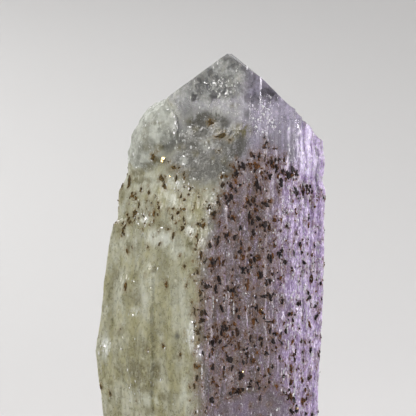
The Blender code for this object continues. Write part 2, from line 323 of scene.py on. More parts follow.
# soft marks on the two front faces: across, height, half width, half height, strength
marks = {
    "olive": (
        (-6, 24.9, 0.42, 0.45, 1), (-8.64, 27.4, 0.25, 0.7, 0.9), (-9.8, 28.9, 0.3, 0.25, 0.7),
        (-8.6, 29.8, 0.3, 0.4, 0.9), (-2, 27.3, 0.4, 0.6, 0.7), (-1.3, 24.8, 0.5, 0.5, 0.8),
        (-8.05, 23.7, 0.22, 1, 0.6), (-10, 24.3, 0.25, 0.9, 0.6), (-7.9, 21.8, 0.8, 0.9, 0.55),
        (-9.9, 18, 0.35, 0.35, 0.6), (-4.7, 18.4, 0.9, 0.35, 0.45), (-3.2, 15.6, 0.3, 0.4, 0.9),
        (-5.7, 14.1, 0.5, 1.1, 1), (-7.6, 14.2, 1.5, 1.2, 0.9), (-9.6, 14, 0.5, 0.8, 0.7),
        (-10.6, 12.7, 0.35, 0.3, 0.8), (-4.9, 11.5, 0.9, 0.5, 0.8), (-7, 12.6, 1.6, 0.9, 0.7),
        (-7.4, 16.6, 1.2, 0.8, 0.5), (-5.9, 17.4, 0.3, 2, 0.6), (-8.3, 21.9, 0.5, 0.8, 0.6),
        (-3.1, 37.65, 0.5, 0.45, 1), (-9.6, 32.8, 0.25, 1.1, 0.7), (-6.8, 32, 0.5, 0.35, 0.6),
        (-5.5, 36.2, 0.9, 0.5, 0.9), (-4.2, 35.3, 0.6, 0.5, 0.9), (-6.6, 35.6, 0.7, 0.5, 0.8),
        (-7.8, 35, 0.8, 0.4, 0.8), (-5.1, 34.3, 0.5, 0.7, 0.9), (-2.6, 34.1, 0.6, 0.6, 0.6),
        (-1.6, 37, 0.5, 0.4, 0.7), (-0.3, 38.4, 0.9, 0.35, 0.8), (-2.2, 35.2, 0.6, 0.4, 0.6),
        (1.4, 36.3, 0.4, 0.5, 0.6), (-1.6, 39.6, 0.4, 0.35, 0.6), (0.9, 39.4, 0.6, 0.4, 0.8),
        (-7.4, 34.2, 1.5, 0.45, 0.8), (-5.4, 34.2, 0.5, 0.5, 0.7), (-3.9, 35.5, 0.45, 0.4, 0.9),
        (3.4, 39.5, 1.3, 0.8, 1.2), (2.5, 42.15, 0.5, 0.22, 1), (0.2, 36.4, 0.35, 0.35, 0.8),
        (-3.2, 31, 0.4, 0.35, 0.7), (-5.2, 29.6, 0.35, 0.35, 0.8), (-6, 9.9, 1.4, 0.5, 0.5),
        (3.9, 12.1, 1.1, 0.32, 0.9), (4.4, 10.6, 0.6, 0.4, 0.5), (2.6, 15.4, 0.8, 0.5, 0.4),
        (-5.4, 40.25, 1.2, 0.25, 0.5), (-7, 39.2, 0.5, 1.2, 0.4), (-5.4, 37.7, 0.7, 0.4, 0.8),
        (-6.8, 37.7, 0.5, 0.5, 0.5), (2, 38.6, 0.7, 0.5, 0.8), (-2.4, 40.4, 0.5, 0.5, 0.4),
    ),
    # grey: dark grey mottles on the left face, and over the clear tip painted shade for the dark seen
    # through it
    "greyMottleAndTipShade": (
        (-3.5, 17.9, 0.32, 0.35, 1), (-6.3, 31.2, 0.6, 0.8, 0.3), (-7.8, 36.5, 1, 0.6, 0.3),
        (-2.6, 38.8, 1.3, 1, 0.5), (-1.3, 40.3, 0.9, 0.8, 0.45), (3.9, 41.1, 0.5, 0.6, 0.8),
        (4.9, 42.4, 0.7, 0.9, 0.6), (-1.6, 38.4, 3.4, 2.2, 0.55), (-0.9, 45, 0.3, 0.5, 0.6),
        (6, 41, 0.9, 0.6, 0.35), (0.85, 37.3, 0.3, 0.2, 0.9), (-0.8, 36, 3.8, 2.4, 1.2),
        (2.4, 38, 1.9, 1.9, 1.2), (-6.8, 37.6, 1.4, 0.9, 0.4), (-0.2, 40.2, 2.8, 1.6, 1.2),
        (-1.8, 41.3, 1.4, 1, 0.7), (6.4, 38.6, 1.4, 1, 0.6), (-1.4, 38.2, 2.4, 1.6, 1.4),
        (-4.4, 38.2, 1.2, 1.2, 0.6), (7.6, 38.4, 0.8, 2.2, 0.4), (1.2, 38.6, 2.6, 1.6, 1.1),
        (8.6, 37.5, 0.45, 1.8, 0.5), (1, 31.6, 0.25, 1.3, 0.6), (-0.2, 13, 0.5, 1.6, 0.5),
    ),
    "cloud": (
        (-5.3, 28.1, 2.2, 1, 1), (-6.6, 23.2, 1.1, 3.8, 0.5), (-9.6, 21.5, 0.9, 3.5, 0.35),
        (-3.2, 22, 1.5, 3.6, 0.45), (-4.6, 32.2, 1.6, 1.2, 0.4), (-8.6, 26.6, 1.6, 2.4, 0.4),
        (-11.3, 16.4, 0.7, 1.6, 0.9), (-6.8, 11.2, 2.2, 0.9, 0.7), (-2.5, 11.6, 0.9, 2, 0.6),
        (-10.2, 26, 0.8, 2, 0.5), (-8.9, 34.4, 1, 0.8, 0.7), (-2.3, 18, 0.5, 2.2, 0.6),
        (-9, 40.2, 1.2, 1.6, 0.8), (-1.2, 43.4, 1.6, 0.6, 0.5), (-3.4, 26.6, 1.4, 0.8, 0.7),
        (-2.6, 30.4, 1.2, 1, 0.4), (-5.4, 8, 2.5, 1.5, 0.5), (-6, 33.6, 3.8, 2.2, 0.75),
        (-8.6, 31.4, 2, 1.8, 0.5), (-3.6, 31.6, 1.8, 2.6, 0.5),
    ),
    # pale: whitish patches, and painted glints along the bright rim of the lump and in the sparkle
    # clusters
    "pale": (
        (-5.5, 28.2, 1.6, 0.75, 0.3), (-11.2, 16.4, 0.4, 0.9, 1), (-7.8, 20.3, 0.7, 0.5, 0.6),
        (-6.9, 30.1, 0.5, 0.5, 0.6), (-2.1, 28.9, 0.6, 0.6, 0.8), (-2, 18.1, 0.4, 1.7, 0.8),
        (-1.1, 16.1, 0.3, 0.6, 0.7), (-3.6, 33.6, 0.6, 0.4, 0.5), (-2.8, 36.2, 0.5, 0.8, 0.5),
        (-4.67, 42, 0.14, 0.3, 0.8), (-4.13, 41.4, 0.14, 0.45, 0.8), (-3.66, 40.5, 0.12, 0.5, 0.8),
        (-3.7, 39.4, 0.12, 0.7, 0.7), (0.4, 44.4, 0.9, 0.4, 0.8), (1.7, 43.2, 0.9, 0.5, 0.5),
        (5.6, 41.9, 0.6, 0.6, 0.8), (6.4, 41, 0.7, 0.9, 0.7), (5.9, 39.4, 0.8, 0.5, 0.6),
        (11.4, 36, 0.3, 1.4, 0.7), (10.8, 15.6, 0.3, 0.5, 1), (11.1, 21.2, 0.3, 0.4, 1),
        (-0.4, 38, 0.9, 0.8, 0.3), (1, 41.6, 1.2, 0.8, 0.45),
    ),
}


def mergedCopy(thing):
    bm = bmesh.new()
    bm.from_mesh(thing.data)
    bmesh.ops.remove_doubles(bm, verts=bm.verts, dist=1e-7)
    bmesh.ops.triangulate(bm, faces=bm.faces)
    points = np.array([v.co[:] for v in bm.verts]) / mm
    faces = np.array([[v.index for v in f.verts] for f in bm.faces])
    bm.free()
    return points, faces


def edgesOf(faces):
    ends = np.sort(faces[:, [[0, 1], [1, 2], [2, 0]]].reshape(-1, 2), axis=1)
    edges, place = np.unique(ends, axis=0, return_inverse=True)
    return edges, place.reshape(-1, 3)


# how a face is split when one, two or three of its sides are cut: the corners of each new
# face, with 0 to 2 for the old corners and 3 to 5 for the middles of the sides, first where
# the diagonal from 2 to 3 is shorter than the one from 0 to 4, then where it isn't
splits = {
    1: (((0, 3, 2),) * 2, ((3, 1, 2),) * 2),
    2: (((3, 1, 4),) * 2, ((3, 4, 2), (3, 4, 0)), ((0, 3, 2), (0, 4, 2))),
    3: (((0, 3, 5),) * 2, ((3, 1, 4),) * 2, ((5, 4, 2),) * 2, ((3, 4, 5),) * 2),
}


def splitLongEdges(points, faces, across, tall):
    # halves every edge that is longer than a cell, until none is
    while True:
        edges, place = edgesOf(faces)
        span = points[edges[:, 1]] - points[edges[:, 0]]
        isLong = np.hypot(np.hypot(span[:, 0], span[:, 1]) / across, span[:, 2] / tall) > 1.0
        if not isLong.any():
            return points, faces
        middle = np.full(len(edges), -1)
        middle[isLong] = len(points) + np.arange(isLong.sum())
        points = np.vstack([points, points[edges[isLong]].mean(axis=1)])
        cut = middle[place]  # new point on each side of each face, or -1
        count = (cut >= 0).sum(axis=1)
        made = [faces[count == 0]]
        for number, parts in splits.items():
            mid = cut[count == number]
            # turn each face so that its cut sides come first
            start = np.argmax((mid >= 0) & (np.roll(mid, 1, axis=1) < 0), axis=1)
            turn = (start[:, None] + np.arange(3)) % 3
            ring = np.hstack([np.take_along_axis(faces[count == number], turn, axis=1),
                              np.take_along_axis(mid, turn, axis=1)])
            one, other = (np.linalg.norm(points[ring[:, a]] - points[ring[:, b]], axis=1)
                          for a, b in ((3, 2), (0, 4)))
            for near, far in parts:
                made.append(np.where((one < other)[:, None], ring[:, near], ring[:, far]))
        faces = np.vstack(made)


def pointNormals(points, faces):
    a, b, c = (points[faces[:, corner]] for corner in range(3))
    faceNormals = np.cross(b - a, c - a)
    normals = np.zeros_like(points)
    for corner in range(3):
        for axis in range(3):
            normals[:, axis] += np.bincount(
                faces[:, corner], faceNormals[:, axis], minlength=len(points))
    return normals / np.maximum(np.linalg.norm(normals, axis=1), 1e-12)[:, None]


def reachOf(points, middle, half):
    return np.linalg.norm((points - np.array(middle)) / np.array(half), axis=1)


def nearBlends(points, blends, inner, outer):
    near = [1 - smooth(reachOf(points, middle, half), inner, outer) for middle, half in blends]
    return np.max(near, axis=0)


def blendLump(points, faces, look):
    # lets the lump and the broken shoulder run out softly into the faces below them
    share = nearBlends(points, look["blends"], 0.6, 1.0)
    share *= 1 - smooth(points[:, 0], -5.6, -4.4) * smooth(points[:, 2], 38.6, 39.8)
    edges, _ = edgesOf(faces)
    near = edges[(share[edges] > 0).any(axis=1)]
    one, other = near.T
    count = np.bincount(one, minlength=len(points)) + np.bincount(other, minlength=len(points))
    share = share[:, None] * 0.6
    for _ in range(look["blendPasses"]):
        total = np.zeros_like(points)
        for axis in range(3):
            total[:, axis] = (
                np.bincount(one, points[other, axis], minlength=len(points))
                + np.bincount(other, points[one, axis], minlength=len(points))
            )
        mean = total / np.maximum(count, 1)[:, None]
        points = np.where(share > 0, points + share * (mean - points), points)
    return points


def raiseLedges(points, normals, look):
    x, _, z = points.T
    lift = np.zeros(len(points))
    for across, low, high, proud, fade in look["ledges"]:
        wander = 0.07 * np.sin(0.9 * z + across) + 0.04 * np.sin(2.7 * z)
        left = across + wander - x
        share = smooth(left, -0.06, 0.06) * (1 - smooth(left, 0.15 * fade, fade))
        ends = smooth(z, low - 0.3, low + 0.6) * (1 - smooth(z, high - 0.5, high + 0.15))
        lift += proud * share * ends
    lift *= smooth(-normals[:, 1], 0.1, 0.3) * (1 - smooth(normals[:, 2], 0.2, 0.4))
    return points + normals * lift[:, None]


def paintMarks(points, normals, marks, inner=0.45, outer=1.35, facing=(0.05, 0.25)):
    x, _, z = points.T
    paint = np.zeros(len(points))
    for across, height, halfWidth, halfHeight, strength in marks:
        reach = np.hypot((x - across) / halfWidth, (z - height) / halfHeight)
        paint = np.maximum(paint, strength * (1 - smooth(reach, inner, outer)))
    return paint * smooth(-normals[:, 1], *facing)


# paints the bright bands by the right corner, a painted highlight, on faces towards the front
def paintHighlightBands(points, normals, highlightBands):
    x, _, z = points.T
    paint = np.zeros(len(points))
    for across, low, high, half, strength in highlightBands:
        share = 1 - smooth(np.abs(x - across), 0.6 * half, 1.4 * half)
        share *= smooth(z, low - 0.3, low + 0.5) * (1 - smooth(z, high - 0.6, high + 0.4))
        paint = np.maximum(paint, strength * share)
    return paint * smooth(-normals[:, 1], 0.05, 0.25)


def rightOf(across, edge):
    # 0 on the cream side of the front edge, 1 on the mauve side
    return smooth(across - edge, -1.1, 1.2)


def zoneMasks(points, normals, look):
    x, y, z = points.T
    toFront = -normals[:, 1]
    waver = 0.45 * np.sin(1.7 * z + 0.9 * x) + 0.3 * np.sin(3.9 * z - 2.3 * x + y)
    front = np.interp(z, look["frontHeights"], look["frontAcross"])
    divide = front + (look["backAcross"] - front) * smooth(y, -2.0, 3.0)
    right = rightOf(x + 0.5 * waver, divide)
    facet = smooth(x + 0.5 * waver, 5.6, 8.9)
    roof = smooth(normals[:, 2], 0.3, 0.55)
    edge = np.interp(x, look["clearAcross"], look["clearHeight"])
    clear = np.maximum(smooth(z - edge + waver, -2.8, 2.2), roof * smooth(z, 36, 38))
    lumpReach = reachOf(points, look["lumpMiddle"], look["lumpHalf"]) + 0.12 * waver
    frost = 1 - smooth(lumpReach, 0.76, 1.18)
    alongEdge = np.hypot(x - front, (y + 8.5 - 0.58 * (x + 1.3)) * 0.7)
    bruise = (1 - smooth(alongEdge, 0.3, 1.3)) * smooth(z, 22, 27) * (1 - smooth(z, 36, 40))
    calm = 1 - 0.5 * right * (1 - smooth(z, 36, 38))
    calm *= smooth(z, 31.0, 34.5) * (1 - smooth(x, 7.2, 9.0))
    broken = nearBlends(points, look["blends"], 0.55, 1.05)
    (middleAcross, middleHeight), (halfAcross, halfHeight) = look["breakMiddle"], look["breakHalf"]
    breakReach = np.hypot((x - middleAcross) / halfAcross, (z - middleHeight) / halfHeight) + 0.06 * waver
    flaked = (1 - smooth(breakReach, 0.86, 1.0)) * smooth(toFront, 0.3, 0.5)
    prism = (1 - roof) * (1 - frost) * (1 - 0.85 * calm) * (1 - 0.9 * flaked)

    top = np.interp(x, look["grainAcross"], look["grainHeight"]) + 0.8 * waver
    under = 1 - smooth(z - top, -0.25, 0.35)
    nearFront = smooth(x - divide, -2.6, 0.4)
    high = smooth(z, 26, 29) * (1 - smooth(z, 36.5, 37.5))
    leftGrains = 0.008 + 0.3 * high + 0.3 * nearFront ** 2
    grains = under * (leftGrains * (1 - right) + right * (0.74 - 0.34 * facet))
    grains *= 1 - 0.6 * smooth(y, -1.0, 4.0)
    rim = right * (1 - smooth(np.abs(z - top + 0.9), 0.4, 1.3)) * smooth(toFront, 0.2, 0.4)
    grains += 0.9 * rim * under
    arc = smooth(breakReach, 0.88, 0.98) * (1 - smooth(breakReach, 1.06, 1.18))
    arc *= smooth(toFront, 0.3, 0.5)
    grains = grains * (1 - 0.88 * flaked) + 0.7 * arc * right
    dull = 1 - clear
    sugar = (
        0.9 * right * facet * dull + 0.22 * right * (1 - facet) * dull
        + 0.12 * frost + 0.5 * bruise + 0.03 * (1 - right) * dull + 0.12 * clear * (1 - roof)
        + paintMarks(points, normals, look["sparkles"], 0.3, 1.2, (0.1, 0.3))
    )
    return {
        "right": right, "facet": facet * right, "clear": clear * (1 - frost), "frost": frost,
        "bruise": bruise, "prism": prism, "roof": roof, "free": smooth(z, 0.05, 0.6),
        "grainShare": grains * (1 - frost) * smooth(z, 0.2, 0.8),
        "sugarShare": sugar * smooth(z, 0.3, 1.0),
        # the bright bands are a painted highlight
        "highlightBand": paintHighlightBands(points, normals, look["highlightBands"]), "broken": broken, "flaked": flaked,
        **{name: paintMarks(points, normals, rows) for name, rows in marks.items()},
    }


# heights and sizes of the relief in millimetres
relief = {
    "Rib Height": 0.1,
    "Rib Width": 0.95,
    "Rib Length": 15.0,
    "Line Height": 0.055,
    "Line Width": 0.42,
    "Line Length": 5.0,
    "Step Height": 0.06,
    "Frost Height": 0.3,
    "Frost Size": 0.9,
    "Pit Depth": 0.1,
    "Pit Size": 1.3,
}


def reliefTree(look):
    g, start = newGraph("crystal_relief", look)

    def stretched(across, tall, shift):
        place = g.vector("DIVIDE", g.place, g.combine(across, across, tall))
        return g.vector("ADD", place, (shift, shift * 0.7, shift * 1.3))

    # ribs: crests of a noise that is drawn out along the crystal
    wide = g.lumps(stretched(start["Rib Width"], start["Rib Length"], 3.1), 2.0, 0.5)
    ribs = (0.14 - g.math("ABSOLUTE", wide - 0.5)) * 6.0 * start["Rib Height"]

    # lines: the same, finer and shorter, strongest on the narrow face
    fine = g.lumps(stretched(start["Line Width"], start["Line Length"], 8.3), 3.0, 0.6)
    lines = (fine - 0.5) * 4.0 * (0.45 + g.attribute("facet") * 0.75) * start["Line Height"]

    # growth steps: a slow noise cut into flat terraces
    slow = g.lumps(stretched(start["Rib Width"] * 3.0, start["Rib Length"], 9.7), 1.0, 0.55)
    steps = (g.math("FLOOR", slow * 14.0) - 6.0) * start["Step Height"]

    # pits and shallow etching
    pitCells = g.cells(stretched(start["Pit Size"], start["Pit Size"] * 2.2, 1.9))
    pits = g.math("SUBTRACT", 0.22, pitCells["Distance"], True) * -5.0 * start["Pit Depth"]

    # frost: lumpy, sharp-edged cells
    frostPlace = stretched(start["Frost Size"], start["Frost Size"], 5.5)
    lumpy = g.math("MULTIPLY", g.cells(frostPlace)["Distance"], -0.8) + g.lumps(frostPlace, 3.0, 0.65)
    frostShare = g.attribute("frost") + g.attribute("bruise") * 0.5
    frost = (lumpy - 0.1) * start["Frost Height"] * frostShare

    height = (ribs + lines + (steps + pits)) * g.attribute("prism") + frost
    offset = g.vector("SCALE", g.value("GeometryNodeInputNormal"), height * g.attribute("free"))
    return g.finish(g.value("GeometryNodeSetPosition", None,
                            {"Geometry": start["Geometry"], "Offset": offset}))


def makeSkin(look):
    points, faces = mergedCopy(solid)
    points, faces = splitLongEdges(points, faces, look["cellAcross"], look["cellTall"])
    points = blendLump(points, faces, look)
    normals = pointNormals(points, faces)
    points = raiseLedges(points, normals, look)
    normals = pointNormals(points, faces)
    mesh = bpy.data.meshes.new("crystal_skin")
    mesh.from_pydata(points * mm, [], faces.tolist())
    mesh.update()
    for name, values in zoneMasks(points, normals, look).items():
        layer = mesh.attributes.new(name, "FLOAT", "POINT")
        layer.data.foreach_set("value", values.astype(np.float32))
    thing = linkedObject("crystal_skin", mesh)
    sizes = {key: size * mm for key, size in relief.items()}
    runTree(thing, reliefTree(sizes), sizes)
    mesh = thing.data
    frost = np.zeros(len(mesh.vertices), dtype=np.float32)
    mesh.attributes["frost"].data.foreach_get("value", frost)
    mesh.shade_smooth()
    mesh.set_sharp_from_angle(angle=math.radians(look["sharpAngle"]))
    corners = np.zeros(len(mesh.loops), dtype=np.int32)
    mesh.loops.foreach_get("vertex_index", corners)
    isSmooth = frost[corners].reshape(-1, 3).mean(axis=1) < look["flatFrost"]
    mesh.polygons.foreach_set("use_smooth", isSmooth)
    print("stage 3: skin of", len(mesh.polygons), "triangles")
    return thing


skin = makeSkin(crystal)

# colours of the skin by their zones and marks, and how it takes the light
finish = {
    "cream": (0.24, 0.23, 0.13, 1),
    "creamPale": (0.455, 0.455, 0.36, 1),
    "green": (0.33, 0.31, 0.15, 1),
    "olive": (0.105, 0.088, 0.02, 1),
    "tan": (0.2, 0.145, 0.055, 1),
    "cloud": (0.55, 0.57, 0.49, 1),
    # dark grey mottles, and painted shade over the clear tip
    "greyMottleAndTipShade": (0.062, 0.06, 0.044, 1),
    "mauve": (0.23, 0.175, 0.185, 1),
    "mauveDark": (0.12, 0.085, 0.088, 1),
    "rust": (0.21, 0.1, 0.04, 1),
    "lilac": (0.37, 0.25, 0.5, 1),
    # painted highlight: the near-white lilac of glitter and striation glints on the right
    "lilacHighlight": (0.84, 0.7, 1.0, 1),
    "flake": (0.15, 0.108, 0.112, 1),
    "flakeLilac": (0.22, 0.165, 0.25, 1),
    "clear": (0.62, 0.635, 0.62, 1),
    "clearPale": (0.8, 0.82, 0.81, 1),
    "clearLilac": (0.58, 0.51, 0.73, 1),
    "roof": (0.9, 0.92, 0.97, 1),
    "frost": (0.27, 0.28, 0.24, 1),
    "frostPale": (0.46, 0.48, 0.43, 1),
    # pale and paleLilac: whitish patches, partly painted glint highlights
    "pale": (0.78, 0.8, 0.74, 1),
    "paleLilac": (0.86, 0.8, 0.97, 1),
    # painted highlight: the near-white lilac of the bright bands
    "highlightBand": (0.8, 0.71, 0.98, 1),
    # painted highlight: white glitter specks
    "highlightSpeck": (0.9, 0.9, 0.9, 1),
    # what the cream is multiplied by in streaks, in dark spots and in light spots
    "streak": (0.8, 0.79, 0.72, 1),
    "shade": (0.8, 0.8, 0.76, 1),
    "light": (1.16, 1.16, 1.16, 1),
    "ior": 1.63,
    # share of light that the milky part lets through, and what the clear part adds to it
    "milkyThrough": 0.22,
    "clearThrough": 0.8,
    "milkyRough": 0.27,
    # share and reach of the light that spreads under the skin
    "glow": 0.45,
    "glowReach": 0.9,
    "absorbed": (0.74, 0.73, 0.75, 1),
    "absorption": 40.0,
}


class Shading(Graph):
    # the nodes of one material, with patterns on the object's own coordinates
    def __init__(self, name, look):
        self.look = look  # holds the colours that mix calls by their names
        self.material = bpy.data.materials.new(name)
        self.material.use_nodes = True
        tree = self.material.node_tree
        super().__init__(tree, addNode(tree, "ShaderNodeTexCoord").outputs["Object"])
        self.shader = tree.nodes["Principled BSDF"]

    def attribute(self, name):
        return self.value("ShaderNodeAttribute", {"attribute_name": name}, None, "Fac")

    def scaled(self, across, tall, shift):
        # the object's coordinates in units of across and tall, in mm
        return self.value("ShaderNodeMapping", None, {
            "Vector": self.place, "Location": (shift, shift * 0.6, shift * 1.7),
            "Scale": (1 / (across * mm), 1 / (across * mm), 1 / (tall * mm)),
        })

    def noise(self, across, tall, detail, roughness, shift):
        return self.lumps(self.scaled(across, tall, shift), detail, roughness)

    def ramp(self, value, low, high):
        return self.value("ShaderNodeMapRange", {"interpolation_type": "SMOOTHSTEP"},
                          {"Value": value, "From Min": low, "From Max": high})

    def patches(self, low, high, *size):
        # noise of that size, cut to patches between two of its levels
        return self.ramp(self.noise(*size), low, high)

    def mix(self, share, a, b, blend="MIX"):
        a, b = (self.look[colour] if isinstance(colour, str) else colour for colour in (a, b))
        return self.value("ShaderNodeMix", {"data_type": "RGBA", "blend_type": blend},
                          {0: share, 6: a, 7: b}, 2)

    def facets(self, across, tall, shift):
        # height of small flat cells, each tilted its own way
        place = self.scaled(across, tall, shift)
        cell = self.cells(place)
        tilt = self.vector("SUBTRACT", cell["Color"], (0.5, 0.5, 0.5))
        return self.vector("DOT_PRODUCT", self.vector("SUBTRACT", place, cell["Position"]), tilt, "Value")

    def bump(self, height, distance, strength, under=None):
        inputs = {"Height": height, "Distance": distance * mm, "Strength": strength}
        if under is not None:
            inputs["Normal"] = under
        return self.value("ShaderNodeBump", None, inputs)

    def link(self, value, name):
        self.tree.links.new(value.socket, self.shader.inputs[name])

    def constants(self, values):
        for name, value in values.items():
            self.shader.inputs[name].default_value = value


def crystalMaterial(look):
    s = Shading("danburite_skin", look)
    right, facet, bruise, onRoof, highlightBand, pale, broken = map(
        s.attribute, ("right", "facet", "bruise", "roof", "highlightBand", "pale", "broken"))
    ragged = (s.noise(1.1, 1.3, 4, 0.7, 13) - 0.5) * 1.6
    frost = s.ramp(s.attribute("frost") + ragged * 0.7, 0.3, 0.75)
    streaks = s.noise(0.34, 2.4, 3, 0.6, 1)
    mottle = s.noise(0.5, 0.55, 5, 0.75, 5)

    cream = s.mix(s.patches(0.34, 0.66, 1.2, 3.2, 5, 0.66, 2), "cream", "creamPale")
    cream = s.mix(s.patches(0.42, 0.62, 1.8, 3, 4, 0.62, 27) * 0.65, cream, "green")
    cream = s.mix(s.ramp(streaks, 0.42, 0.66) * 0.45, cream, "streak", "MULTIPLY")
    cream = s.mix(s.ramp(mottle, 0.38, 0.64), s.mix(1.0, cream, "shade", "MULTIPLY"),
                  s.mix(1.0, cream, "light", "MULTIPLY"))
    cloud = s.attribute("cloud") * s.patches(0.34, 0.6, 1, 1.5, 4, 0.6, 17)
    cream = s.mix(cloud, cream, "cloud")
    cream = s.mix(s.patches(0.56, 0.72, 1, 1.6, 4, 0.65, 7) * 0.4, cream, "olive")

    mauve = s.mix(s.patches(0.38, 0.66, 0.8, 2.4, 4, 0.6, 4), "mauveDark", "mauve")
    mauve = s.mix(s.ramp(streaks, 0.54, 0.68) * 0.4, mauve, "lilac")
    # fine near-white lilac specks on the mauve: painted glitter highlights
    mauve = s.mix(s.patches(0.56, 0.68, 0.15, 0.24, 3, 0.6, 31) * 0.65, mauve, "lilacHighlight")

    # short upright near-white dashes on the narrow face: painted striation glints
    lilac = s.mix(s.patches(0.48, 0.62, 0.15, 0.34, 3, 0.6, 11), "lilac", "lilacHighlight")
    lilac = s.mix(s.patches(0.5, 0.62, 0.5, 1.5, 3, 0.6, 21) * 0.6, lilac, "mauveDark")

    # the tip is clear above, and ever cloudier towards the grains
    clear = s.math("MULTIPLY", s.attribute("clear"), 0.9 + ragged, True)
    crackle = s.ramp(mottle, 0.4, 0.68) * (1.0 - onRoof * 0.85)
    veil = s.patches(0.36, 0.64, 1.6, 2, 4, 0.6, 37)
    tip = s.mix(crackle, "clear", "clearPale")
    tip = s.mix(right * 0.7, tip, "clearLilac")
    tip = s.mix(onRoof * (0.8 + veil * 0.2), tip, "roof")

    colour = s.mix(facet, s.mix(right, cream, mauve), lilac)
    flake = s.mix(s.patches(0.32, 0.7, 2.6, 1.6, 3, 0.5, 33), "flake", "flakeLilac")
    colour = s.mix(s.attribute("flaked") * 0.85, colour, flake)
    colour = s.mix(clear, colour, tip)
    milky = s.mix(s.patches(0.36, 0.62, 0.9, 0.9, 5, 0.62, 41), "frost", "frostPale")
    colour = s.mix(s.math("MAXIMUM", frost, bruise * 0.4), colour, milky)
    # dark grey mottles, and painted shade over the clear tip that also lets less light through
    greyMottleAndTipShade = s.attribute("greyMottleAndTipShade") * s.ramp(mottle, 0.24, 0.54)
    colour = s.mix(greyMottleAndTipShade, colour, "greyMottleAndTipShade")
    stain = s.attribute("olive") * s.patches(0.36, 0.52, 0.42, 0.6, 4, 0.7, 3)
    colour = s.mix(stain * 0.9, colour, "olive")
    halo = s.attribute("stain") * s.patches(0.38, 0.6, 0.17, 0.22, 3, 0.65, 12)
    colour = s.mix(halo * 0.9, colour, s.mix(right, "tan", "rust"))
    # whitish patches, partly painted glints along the lump's rim and in sparkle clusters
    colour = s.mix(pale * s.patches(0.35, 0.55, 0.22, 0.5, 3, 0.6, 9), colour,
                   s.mix(right, "pale", "paleLilac"))
    # painted highlight: the bright bands turn lighter lilac, then near-white in streaks
    colour = s.mix(highlightBand * 0.15, colour, "lilacHighlight")
    colour = s.mix(highlightBand * s.patches(0.3, 0.46, 0.16, 3, 2, 0.5, 19), colour, "highlightBand")
    # white specks over the skin, more on the right: painted glitter highlights
    highlightSpecks = s.patches(0.56, 0.7, 0.15, 0.17, 2, 0.6, 6)
    s.link(s.mix(highlightSpecks * (0.12 + right * 0.25), colour, "highlightSpeck"), "Base Color")

    rough = look["milkyRough"] - clear * 0.19 + crackle * 0.08 + broken * 0.24 + frost * 0.26
    s.link(rough, "Roughness")
    cloudy = crackle * 0.22 + veil * (0.3 - onRoof * 0.18)
    see = clear * (look["clearThrough"] - onRoof * 0.25 - cloudy) * (1.0 - greyMottleAndTipShade * 0.6)
    s.link(s.math("ADD", look["milkyThrough"] - frost * 0.08, see, True), "Transmission Weight")
    s.constants({
        "IOR": look["ior"],
        "Subsurface Weight": look["glow"],
        "Subsurface Radius": (1.0, 0.95, 0.9),
        "Subsurface Scale": look["glowReach"] * mm,
    })

    # fine lines, lumps on broken ground, and small tilted cells that glitter
    normal = s.bump(s.noise(0.14, 1.3, 3, 0.6, 15), 0.04, 0.6)
    normal = s.bump(s.noise(0.7, 0.8, 4, 0.58, 23) * broken, 0.26, 1.0, normal)
    sugary = s.math("MAXIMUM", s.math("MAXIMUM", facet, frost), s.math("MAXIMUM", bruise, pale))
    glitter = s.facets(0.22, 0.45, 2) * ((0.25 + sugary * 0.75) * (1.0 - clear))
    s.link(s.bump(glitter, 0.14, 1.0, normal), "Normal")

    absorption = addNode(s.tree, "ShaderNodeVolumeAbsorption", None, {
        "Color": look["absorbed"], "Density": look["absorption"],
    })
    s.tree.links.new(absorption.outputs[0], s.tree.nodes["Material Output"].inputs["Volume"])
    return s.material


skin.data.materials.clear()
skin.data.materials.append(crystalMaterial(finish))
print("stage 4: skin material")


